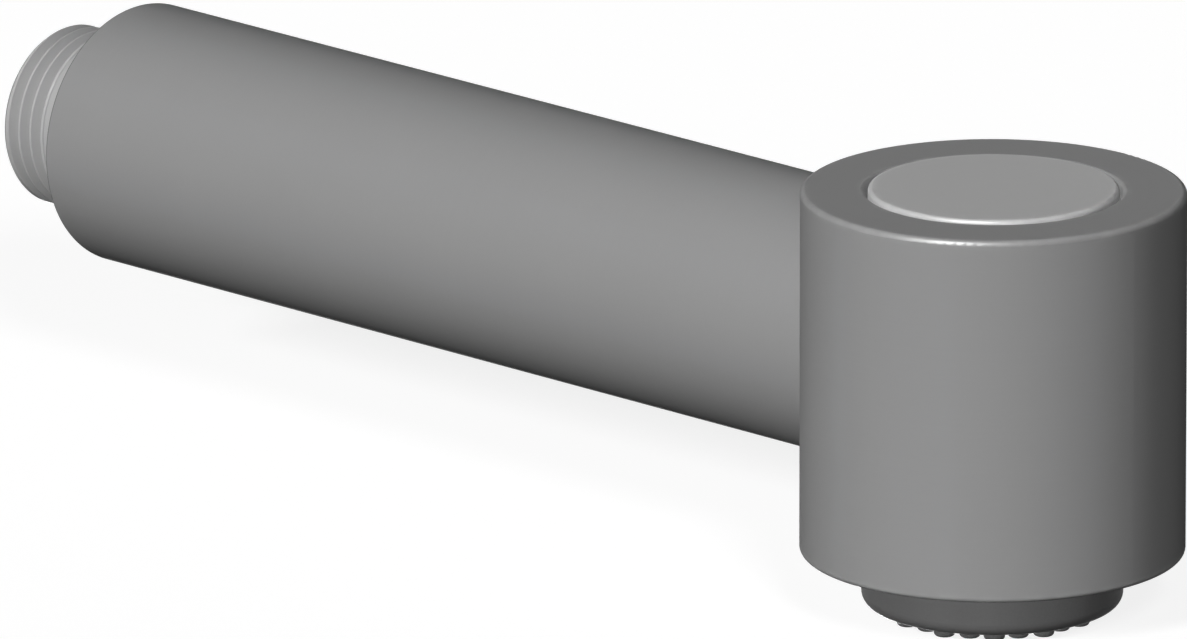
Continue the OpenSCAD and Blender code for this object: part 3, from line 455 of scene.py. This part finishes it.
screens = bmesh.new()
for bottom in SCREENS_AT:
    top = bottom + RIM_HEIGHT
    weave(screens, SCREEN_R, bottom + RIM_HEIGHT / 2)
    rim = chain(screens, [
        (RIM_IN, 0, bottom + RIM_EASE), (RIM_IN + RIM_EASE, 0, bottom),
        (RIM_OUT - RIM_EASE, 0, bottom), (RIM_OUT, 0, bottom + RIM_EASE),
        (RIM_OUT, 0, top - RIM_EASE), (RIM_OUT - RIM_EASE, 0, top),
        (RIM_IN + RIM_EASE, 0, top), (RIM_IN, 0, top - RIM_EASE)], closed=True)
    spin_round(screens, rim, AROUND_Z, steps=STEPS // 2)
move(screens, (HEAD_AXIS, 0, 0))
finished("woven_aerator_screens", screens, "aerator_screens")

# %% [markdown]
# Springs
#
# Both springs are wound from round wire, with their last coils closed and ground flat so that
# they stand square. A curve with a bevel could draw them, but the ends would stay open. Here a
# small circle is spun up around the axis three times: close-wound, open, and close-wound
# again. Two planes then cut the ends flat, and the cuts are filled.

# %% Springs
COIL_SIDES = 12
COIL_STEPS = 40
GROUND = 0.1  # how far inside the spring's ends its wire is centred, as a share of the wire


def wind(mean, wire, closed_turns, open_turns, length):
    """A compression spring around Z, standing on the plane z = 0."""
    coil = bmesh.new()
    circle = bmesh.ops.create_circle(coil, segments=COIL_SIDES, radius=wire / 2)
    rotate(coil, QUARTER_TURN, "X")
    move(coil, (mean / 2, 0, wire * GROUND))
    rim = list({edge for vert in circle["verts"] for edge in vert.link_edges})
    rise = length - 2 * wire * GROUND - 2 * closed_turns * wire
    for turns, climb in ((closed_turns, closed_turns * wire), (open_turns, rise),
                         (closed_turns, closed_turns * wire)):
        steps = round(turns * COIL_STEPS)
        result = bmesh.ops.spin(coil, geom=rim, cent=MIDDLE, axis=AROUND_Z,
                                dvec=(0, 0, climb / steps), angle=turns * FULL_TURN,
                                steps=steps, use_merge=False)
        rim = [item for item in result["geom_last"] if isinstance(item, bmesh.types.BMEdge)]
    cut(coil, (0, 0, 0), (0, 0, -1))
    cut(coil, (0, 0, length), (0, 0, 1))
    bmesh.ops.holes_fill(coil, edges=[edge for edge in coil.edges if edge.is_boundary])
    return coil


BUTTON_SPRING, BUTTON_SPRING_AT, PRESSED = 10.4, 7.7, 3.5
spring = wind(mean=12.0, wire=0.8, closed_turns=1.0, open_turns=4.5, length=BUTTON_SPRING)
move(spring, (HEAD_AXIS, 0, BUTTON_SPRING_AT))
button_spring = finished("button_spring", spring, "return_spring")
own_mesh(button_spring)

VALVE_SPRING, VALVE_SPRING_AT, OPENED = 4.75, 8.4, 2.5
spring = wind(mean=5.2, wire=0.5, closed_turns=0.75, open_turns=2.5, length=VALVE_SPRING)
rotate(spring, QUARTER_TURN, "Y")
move(spring, (VALVE_SPRING_AT, 0, 0))
valve_spring = finished("valve_spring", spring, "check_spring")
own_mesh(valve_spring)

# %% [markdown]
# The light
#
# Softboxes in a studio are large and far away. They could be area lamps, whose light falls off
# with distance, or sun lamps with a wide disc, whose light doesn't. Suns are used, because then
# the head and the far end of the handle are lit the same. A sun whose strength is pi times a
# level shows a white sheet that faces it at that level, so the levels are easy to add up.
#
# The key lamp stands to the left of the camera, and the second one to its right and higher.
# A third one, low behind the object, only serves views from behind: from the front it reaches
# nothing, where a higher one would glare on the top. It shines up from under the floor, which
# casts no shadow. The glint is the bright bulb inside a softbox. It adds no light, and only
# shows as the thin bright line on rounded metal edges.
#
# In the photograph the head throws no shadow on the handle, nor the handle's rim on the thread.
# There the softboxes are so large that their light gets round everything. So the key and the
# second lamp cast no shadow on the object. Copies of them that only reach the floor do cast
# one, so that the object still stands on it. Light linking sorts them: one collection takes the
# floor in, the other leaves it out. The floor is made here, still empty, because both need it.

# %% The lamps
LAMPS = {
    # name: (direction to the lamp, level, width of its disc in degrees, what it reaches)
    "key": ((0.132, -0.888, 0.440), 0.735, 12.0, "object"),
    "second": ((0.698, -0.455, 0.553), 0.315, 12.0, "object"),
    "behind": ((-0.66, 0.66, -0.36), 0.75, 5.0, "everything"),
    "glint": ((0.226, -0.697, 0.68), 6.0, 16.0, "gloss"),
}
for name in ("key", "second"):
    LAMPS[name + "_on_floor"] = (*LAMPS[name][:3], "floor")

floor_mesh = bpy.data.meshes.new("floor")
floor = bpy.data.objects.new("floor", floor_mesh)
bpy.context.scene.collection.objects.link(floor)
reached = {}
for label, state in (("floor", "INCLUDE"), ("object", "EXCLUDE")):
    reached[label] = bpy.data.collections.new("light on the " + label)
    reached[label].objects.link(floor)
    reached[label].collection_objects[0].light_linking.link_state = state

for name, (direction, level, disc, reach) in LAMPS.items():
    lamp_data = bpy.data.lights.new(name, "SUN")
    lamp_data.energy = level * math.pi
    lamp_data.angle = math.radians(disc)
    lamp_data.use_shadow = reach != "object"
    lamp = bpy.data.objects.new(name, lamp_data)
    lamp.rotation_euler = Vector(direction).to_track_quat("Z", "Y").to_euler()
    lamp.visible_diffuse = reach != "gloss"
    if reach in reached:
        lamp.light_linking.receiver_collection = reached[reach]
    bpy.context.scene.collection.objects.link(lamp)
    print("lamp", name, "level", level, "reaches", reach)

# %% [markdown]
# Shader maths
#
# A finish is a small sum: a colour, plus some cloudiness, plus a grain. In the node editor
# that takes dozens of Math nodes. The class below wraps one output of a node, so that an
# ordinary expression such as 1 - mask * 0.3 adds those nodes. Any other kind of node comes
# from its one method, make, which sets the node up first and then fills its inputs.

# %% A class for shader maths
class Shade:
    """An output of a node. Sums on it add Math nodes to the same tree."""

    def __init__(self, tree, out=None):
        self.tree, self.out = tree, out

    def make(self, kind, setup=None, inputs=None, out=0):
        """Adds a node: its settings first, then the values or links of its inputs."""
        node = self.tree.nodes.new("ShaderNode" + kind)
        for key, value in (setup or {}).items():
            setattr(node, key, value)
        for key, value in (inputs or {}).items():
            if isinstance(value, Shade):
                self.tree.links.new(value.out, node.inputs[key])
            else:
                node.inputs[key].default_value = value
        return Shade(self.tree, node.outputs[out] if len(node.outputs) else None)

    def math(self, operation, *values, clamp=False):
        return self.make("Math", {"operation": operation, "use_clamp": clamp},
                         dict(enumerate(values)))

    def __add__(self, other):
        return self.math("ADD", self, other)

    def __radd__(self, other):
        return self.math("ADD", other, self)

    def __sub__(self, other):
        return self.math("SUBTRACT", self, other)

    def __rsub__(self, other):
        return self.math("SUBTRACT", other, self)

    def __mul__(self, other):
        return self.math("MULTIPLY", self, other)

    def __rmul__(self, other):
        return self.math("MULTIPLY", other, self)

    def __truediv__(self, other):
        return self.math("DIVIDE", self, other)

    def root(self):
        return self.math("SQRT", self)

    def step(self, low, high):
        """0 below low, 1 above high, and smooth between."""
        return self.make("MapRange", {"interpolation_type": "SMOOTHSTEP"},
                         {"Value": self, "From Min": low, "From Max": high})

    def blend(self, first, second):
        """A colour between two, by this number."""
        return self.make("Mix", {"data_type": "RGBA"}, {0: self, 6: first, 7: second}, out=2)


def blank(owner):
    """Clears the nodes of a material or a world, and gives a start for new ones."""
    owner.use_nodes = True
    owner.node_tree.nodes.clear()
    return Shade(owner.node_tree)


def distance(first, second):
    """The distance from an axis, given the two coordinates across it."""
    return (first * first + second * second).root()


def grey(value):
    """A colour with the same red, green and blue."""
    return (value, value, value, 1.0)


print("shader maths ready")

# %% [markdown]
# The floor and the white surround
#
# The photograph shows the object on plain white. A floor that is really that white would
# throw light up at the object and grey out its lower edges. So rays from the camera, and
# rays that metal mirrors, see a white floor that still takes the object's soft shadow, and
# the rays that only carry light see a darker one. The world does the same. The white floor is
# mostly a glow, and the rest is a pale grey that the lamps light, so only that rest can lie in
# shadow. From below the floor is see-through, so that the nozzles can be looked at.

# %% The floor
FLOOR_Z = cad_box[0][2]
FLOOR_SIZE = 4.0
GLOW = 0.84
SHADOWED = 0.30
UNSEEN_FLOOR = 0.02


def seen_directly(shade):
    """1 for rays from the camera, mirrored rays and rays through glass, and 0 for others."""
    rays = [shade.make("LightPath", out=name)
            for name in ("Is Camera Ray", "Is Glossy Ray", "Is Transmission Ray")]
    return shade.math("ADD", rays[0] + rays[1], rays[2], clamp=True)


sheet = bmesh.new()
bmesh.ops.create_grid(sheet, x_segments=1, y_segments=1, size=FLOOR_SIZE)
move(sheet, (0, 0, FLOOR_Z))
sheet.to_mesh(floor_mesh)
sheet.free()
floor.visible_shadow = False

floor_finish = bpy.data.materials.new("floor")
shade = blank(floor_finish)
glow = shade.make("Emission", inputs={"Color": grey(1.0), "Strength": GLOW})
pale = shade.make("BsdfDiffuse", inputs={"Color": grey(SHADOWED)})
dim = shade.make("BsdfDiffuse", inputs={"Color": grey(UNSEEN_FLOOR)})
white = shade.make("AddShader", inputs={0: glow, 1: pale})
above = shade.make("MixShader", inputs={0: seen_directly(shade), 1: dim, 2: white})
from_below = shade.make("NewGeometry", out="Backfacing")
clear = shade.make("BsdfTransparent")
both = shade.make("MixShader", inputs={0: from_below, 1: above, 2: clear})
shade.make("OutputMaterial", inputs={"Surface": both})
floor_mesh.materials.append(floor_finish)
print("floor at", round(FLOOR_Z / MM, 2), "mm")

# %% The world
AMBIENT = 0.006

world = bpy.data.worlds.new("studio")
shade = blank(world)
bpy.context.scene.world = world
around = shade.make("Background", inputs={"Color": grey(1.0), "Strength": AMBIENT})
backdrop = shade.make("Background", inputs={"Color": grey(1.0), "Strength": 1.0})
both = shade.make("MixShader", inputs={0: seen_directly(shade), 1: around, 2: backdrop})
shade.make("OutputWorld", inputs={"Surface": both})
bpy.context.scene.view_settings.view_transform = "Standard"
print("world: white where it is seen, and a level of", AMBIENT, "where it only carries light")

# %% [markdown]
# What a finish is made of
#
# All the finishes here share a few things, and each has its own amounts: a colour with soft
# clouds in it, a fine grain that stands in relief, and on turned pieces faint rings that the
# lathe or the polishing belt leaves. Image textures would need unwrapped pieces, and would
# blur in a close view. Patterns worked out from the place of each point stay sharp, so these
# are used. Places are in millimetres from the inlet's end, as on the maker's drawing.
#
# Each finish below adds its patterns up in the same way. A pattern lies around 0.5, so 0.5 is
# taken off and the rest is multiplied by how far it may sway the tint or the roughness.

# %% Helpers for finishes
class Finish:
    """One material, with the place of a point in millimetres and a principled shader."""

    def __init__(self, name):
        self.material = bpy.data.materials.new(name)
        self.start = blank(self.material)
        place = self.start.make("TexCoord", out="Object")
        self.place = place.make("VectorMath", {"operation": "SCALE"},
                                {0: place, "Scale": 1.0 / MM})
        self.x, self.y, self.z = (self.place.make("SeparateXYZ", inputs={0: self.place}, out=k)
                                  for k in range(3))

    def noise(self, size, detail=2.0, stretch=(1.0, 1.0, 1.0)):
        """A soft pattern from 0 to 1 whose patches are about size millimetres wide."""
        scale = [axis / size for axis in stretch]
        spread = self.place.make("Mapping", inputs={"Vector": self.place, "Scale": scale})
        return self.place.make("TexNoise", inputs={"Vector": spread, "Scale": 1.0,
                                                   "Detail": detail})

    def rings(self, along, across, size):
        """Faint turned rings: noise that varies along the axis, and hardly around it."""
        mix = self.place.make("CombineXYZ", inputs={0: along / size, 1: across / size, 2: 0.0})
        return self.place.make("TexNoise", inputs={"Vector": mix, "Scale": 1.0, "Detail": 3.0})

    def shell(self, colour, roughness, height, relief, metallic=0.0, shine=0.5):
        """Ends the material: relief is how high the height pattern stands, in millimetres."""
        bump = height.make("Bump", inputs={"Strength": 1.0, "Distance": relief * MM,
                                           "Height": height})
        surface = self.start.make("BsdfPrincipled", inputs={
            "Base Color": colour, "Roughness": roughness, "Metallic": metallic,
            "Normal": bump, "Specular IOR Level": shine})
        self.start.make("OutputMaterial", inputs={"Surface": surface})
        return self.material


def dress(material, *names):
    """Gives CAD nodes or new pieces this finish in every slot they have."""
    for name in names:
        mesh = bpy.data.objects[name].data
        mesh.materials.clear()
        mesh.materials.append(material)
    print(material.name, "on", len(names), "pieces")


print("helpers for finishes ready")

# %% [markdown]
# Satin metal
#
# The handle and the head are brass, plated and then brushed on a soft belt. Under plain light
# they look a smooth mid grey, with a bright line only where an edge is rounded. A fully
# metallic shader would mirror the white surround, which the photograph doesn't show, so the
# grey is mostly diffuse with a little metal in it, and more of it on the rounded edges, which
# the belt and years of handling have polished. The belt leaves rings around each piece's axis,
# too fine to see one by one, and the flat parts have a very soft clouding. The round at the
# handle's inlet end is the other way round: it is painted darker, a painted shade for the thin
# dark line where that round turns away from the light.

# %% Satin metal
SHELL_GREY = 0.318
HEAD_TOP, HEAD_BOTTOM, BUTTON_HOLE_R = 19.5, -22.1, 14.3
POLISH = (0.3, 1.3)   # where the polish of an edge starts to fade, and where it is gone, in mm
ROUND_SHADE = (0.16, 0.34)  # the same for the painted shade on a round


def satin(name, tone, axis, edges=(), shaded_round=()):
    """Brushed satin metal, turned about "x" or "z". Each edge is (radius, place along)."""
    finish = Finish(name)
    if axis == "x":
        along, radius = finish.x, distance(finish.y, finish.z)
    else:
        along, radius = finish.z, distance(finish.x - HEAD_AXIS, finish.y)

    def near(places, inner, outer):
        """1 on the edges at these places, or 0 where there are none."""
        mask = 0.0
        for edge_radius, edge_place in places:
            gap = distance(radius - edge_radius, along - edge_place)
            mask = gap.math("MAXIMUM", mask, 1.0 - gap.step(inner, outer))
        return mask

    brush = finish.rings(along + radius, along * 0.03, 0.35)
    clouds = finish.noise(14.0, 3.0)
    grain = finish.noise(0.22)
    edge = near(edges, *POLISH)
    worn = edge * finish.noise(3.0, 3.0).step(0.35, 0.65)
    tint = (clouds - 0.5) * 0.08 + (brush - 0.5) * 0.05 + 0.5 + worn * 0.22
    colour = tint.blend(grey(tone * 0.8), grey(tone * 1.2))
    # Painted shade: the round at these places is darkened, for the dark line where it turns from
    # the light.
    if shaded_round:
        colour = near(shaded_round, *ROUND_SHADE).blend(colour, grey(tone * 0.4))
    rough = (clouds - 0.5) * 0.10 + (brush - 0.5) * 0.06 + 0.42 - worn * 0.04
    height = brush * 0.7 + grain * 0.3
    return finish.shell(colour, rough, height, 0.0012, metallic=edge * 0.033 + 0.012, shine=0.0)


dress(satin("satin_shell_handle", SHELL_GREY, "x", shaded_round=[(HANDLE_R, HANDLE_END)]),
      "rounded_handle")
dress(satin("satin_shell_head", SHELL_GREY, "z",
            edges=[(HEAD_R, HEAD_TOP), (HEAD_R, HEAD_BOTTOM), (BUTTON_HOLE_R, HEAD_TOP)]),
      "head_shell", "base_ring")

# %% [markdown]
# The push button
#
# The button is the same metal, polished a little lighter so that the thumb finds it. Its face
# is turned flat, so the rings are around its middle.

# %% The push button
BUTTON_GREY = 0.56
BUTTON_R, BUTTON_TOP = 14.0, 19.8

dress(satin("satin_button", BUTTON_GREY, "z", edges=[(BUTTON_R, BUTTON_TOP)]), "button_cap")

# %% [markdown]
# The connector
#
# The connector is plated lighter than the handle. The hose screws on here, and the thread's
# crests are painted a touch lighter than its flanks: partly wear where the nut rubs, and partly
# a painted highlight along the crests, where the light falls brightest. A mask on the distance
# from the axis tells one from the other: the crests are further out than the flanks, and
# further in than the nut.

# %% The connector
finish = Finish("plated_connector")
radius = distance(finish.y, finish.z)
past_flanks = radius.step(CREST - 0.06, CREST - 0.01)
inside_nut = 1.0 - radius.step(CREST + 0.05, CREST + 0.15)
brush = finish.rings(finish.x + radius, finish.x * 0.05, 0.25)
clouds = finish.noise(5.0, 3.0)
# Painted highlight and wear: the crests are lightened, partly for the nut's wear and partly as a
# painted highlight.
crest_wear_and_highlight = past_flanks * inside_nut * (0.75 + clouds * 0.5)
tint = crest_wear_and_highlight * 0.30 + (brush - 0.5) * 0.10 + (clouds - 0.5) * 0.15 + 0.33
colour = tint.blend(grey(0.32), grey(0.56))
rough = 0.40 - crest_wear_and_highlight * 0.08 + (clouds - 0.5) * 0.08
dress(finish.shell(colour, rough, brush, 0.0015, metallic=crest_wear_and_highlight * 0.03 + 0.012, shine=0.0),
      "threaded_connector", "slotted_end_nut")

# %% [markdown]
# Plain metals inside
#
# The sleeve, the spindle and the upper seat are turned brass. The springs, the washers and
# the screw are stainless steel, and the filter and the aerator have fine stainless cloth.
# These are fully metallic, because they sit inside, where there is no white surround to mirror.

# %% Plain metals
def turned(name, dark, light, roughness, size):
    """Bare turned metal, with tool rings and a thin stain."""
    finish = Finish(name)
    along = finish.x + finish.z
    rings = finish.rings(along, along * 0.04, size)
    stain = finish.noise(6.0, 4.0).step(0.35, 0.75)
    tint = rings * 0.7 + stain * 0.3
    colour = tint.blend(dark, light)
    rough = roughness + stain * 0.12 - rings * 0.05
    return finish.shell(colour, rough, rings, 0.004, metallic=1.0)


dress(turned("brass", (0.42, 0.31, 0.13, 1.0), (0.72, 0.58, 0.30, 1.0), 0.30, 0.3),
      "joint_sleeve", "spindle", "upper_seat")
dress(turned("spring_steel", grey(0.45), grey(0.66), 0.28, 0.2),
      "valve_spring", "button_spring", "gland_washer", "disc_washer", "disc_screw")
dress(turned("wire_mesh", grey(0.42), grey(0.64), 0.35, 0.1),
      "woven_filter", "woven_aerator_screens")

# %% [markdown]
# Moulded plastics
#
# The spray ring and the aerator's housing come from a mould whose wall was eroded by sparks,
# so they have a fine pebble grain and hardly any shine. The parts of the valve are smooth
# mouldings, with the faint flow marks of the melt. One helper does both, with more or less
# grain.

# %% Moulded plastics
def moulded(name, dark, light, roughness, grain_size, relief, shine=0.25):
    """Moulded plastic: a pebble grain and soft flow marks."""
    finish = Finish(name)
    pebble = finish.place.make("TexVoronoi", {"feature": "SMOOTH_F1"},
                               {"Vector": finish.place, "Scale": 1.0 / grain_size,
                                "Smoothness": 0.6})
    fine = finish.noise(grain_size * 0.6)
    marks = finish.noise(9.0, 3.0, (1.0, 1.0, 0.4))
    grain = (1.0 - pebble) * 0.7 + fine * 0.3
    tint = (marks - 0.5) * 0.7 + (grain - 0.5) * 0.25 + 0.5
    colour = tint.blend(dark, light)
    rough = roughness + (marks - 0.5) * 0.12
    return finish.shell(colour, rough, grain, relief, shine=shine)


dress(moulded("dark_face", grey(0.103), grey(0.155), 0.55, 0.30, 0.006, shine=0.03),
      "spray_ring", "aerator_housing")
dress(moulded("valve_moulding", (0.22, 0.23, 0.25, 1.0), (0.36, 0.37, 0.39, 1.0),
              0.5, 0.5, 0.003), "valve_body", "valve_cover")
dress(moulded("white_acetal", (0.68, 0.68, 0.65, 1.0), (0.82, 0.82, 0.80, 1.0),
              0.42, 0.6, 0.002), "check_cartridge", "check_poppet", "check_guide",
      "waterway_tube", "distributor_plate", "flow_regulator")
dress(moulded("honeycomb_plastic", grey(0.46), grey(0.62), 0.45, 0.4, 0.002),
      "aerator_honeycomb")

# %% [markdown]
# Rubber
#
# The nozzles are soft dark rubber, so that scale can be rubbed off with a thumb. They are
# matt, with a dusty bloom in places. The rings inside are black rubber with a little grease.

# %% Rubber
def rubber(name, dark, light, roughness, bloom, shine):
    """Soft matt rubber with a bloom on it."""
    finish = Finish(name)
    dust = finish.noise(1.6, 4.0).step(0.35, 0.8)
    skin = finish.noise(0.12)
    tint = dust * bloom + (skin - 0.5) * 0.25 + 0.3
    colour = tint.blend(dark, light)
    rough = roughness + dust * 0.15
    return finish.shell(colour, rough, skin, 0.004, shine=shine)


dress(rubber("nozzle_rubber", grey(0.085), grey(0.130), 0.62, 0.5, shine=0.12), "nozzle_mat")
dress(rubber("seal_rubber", grey(0.022), grey(0.060), 0.42, 0.4, shine=0.4),
      "connector_seal", "filter_washer", "check_cartridge_seal", "check_poppet_seal",
      "tube_seals_inlet", "tube_seals_head", "cover_seal", "stem_seal", "valve_disc",
      "ring_gasket", "outlet_seal", "aerator_seal")
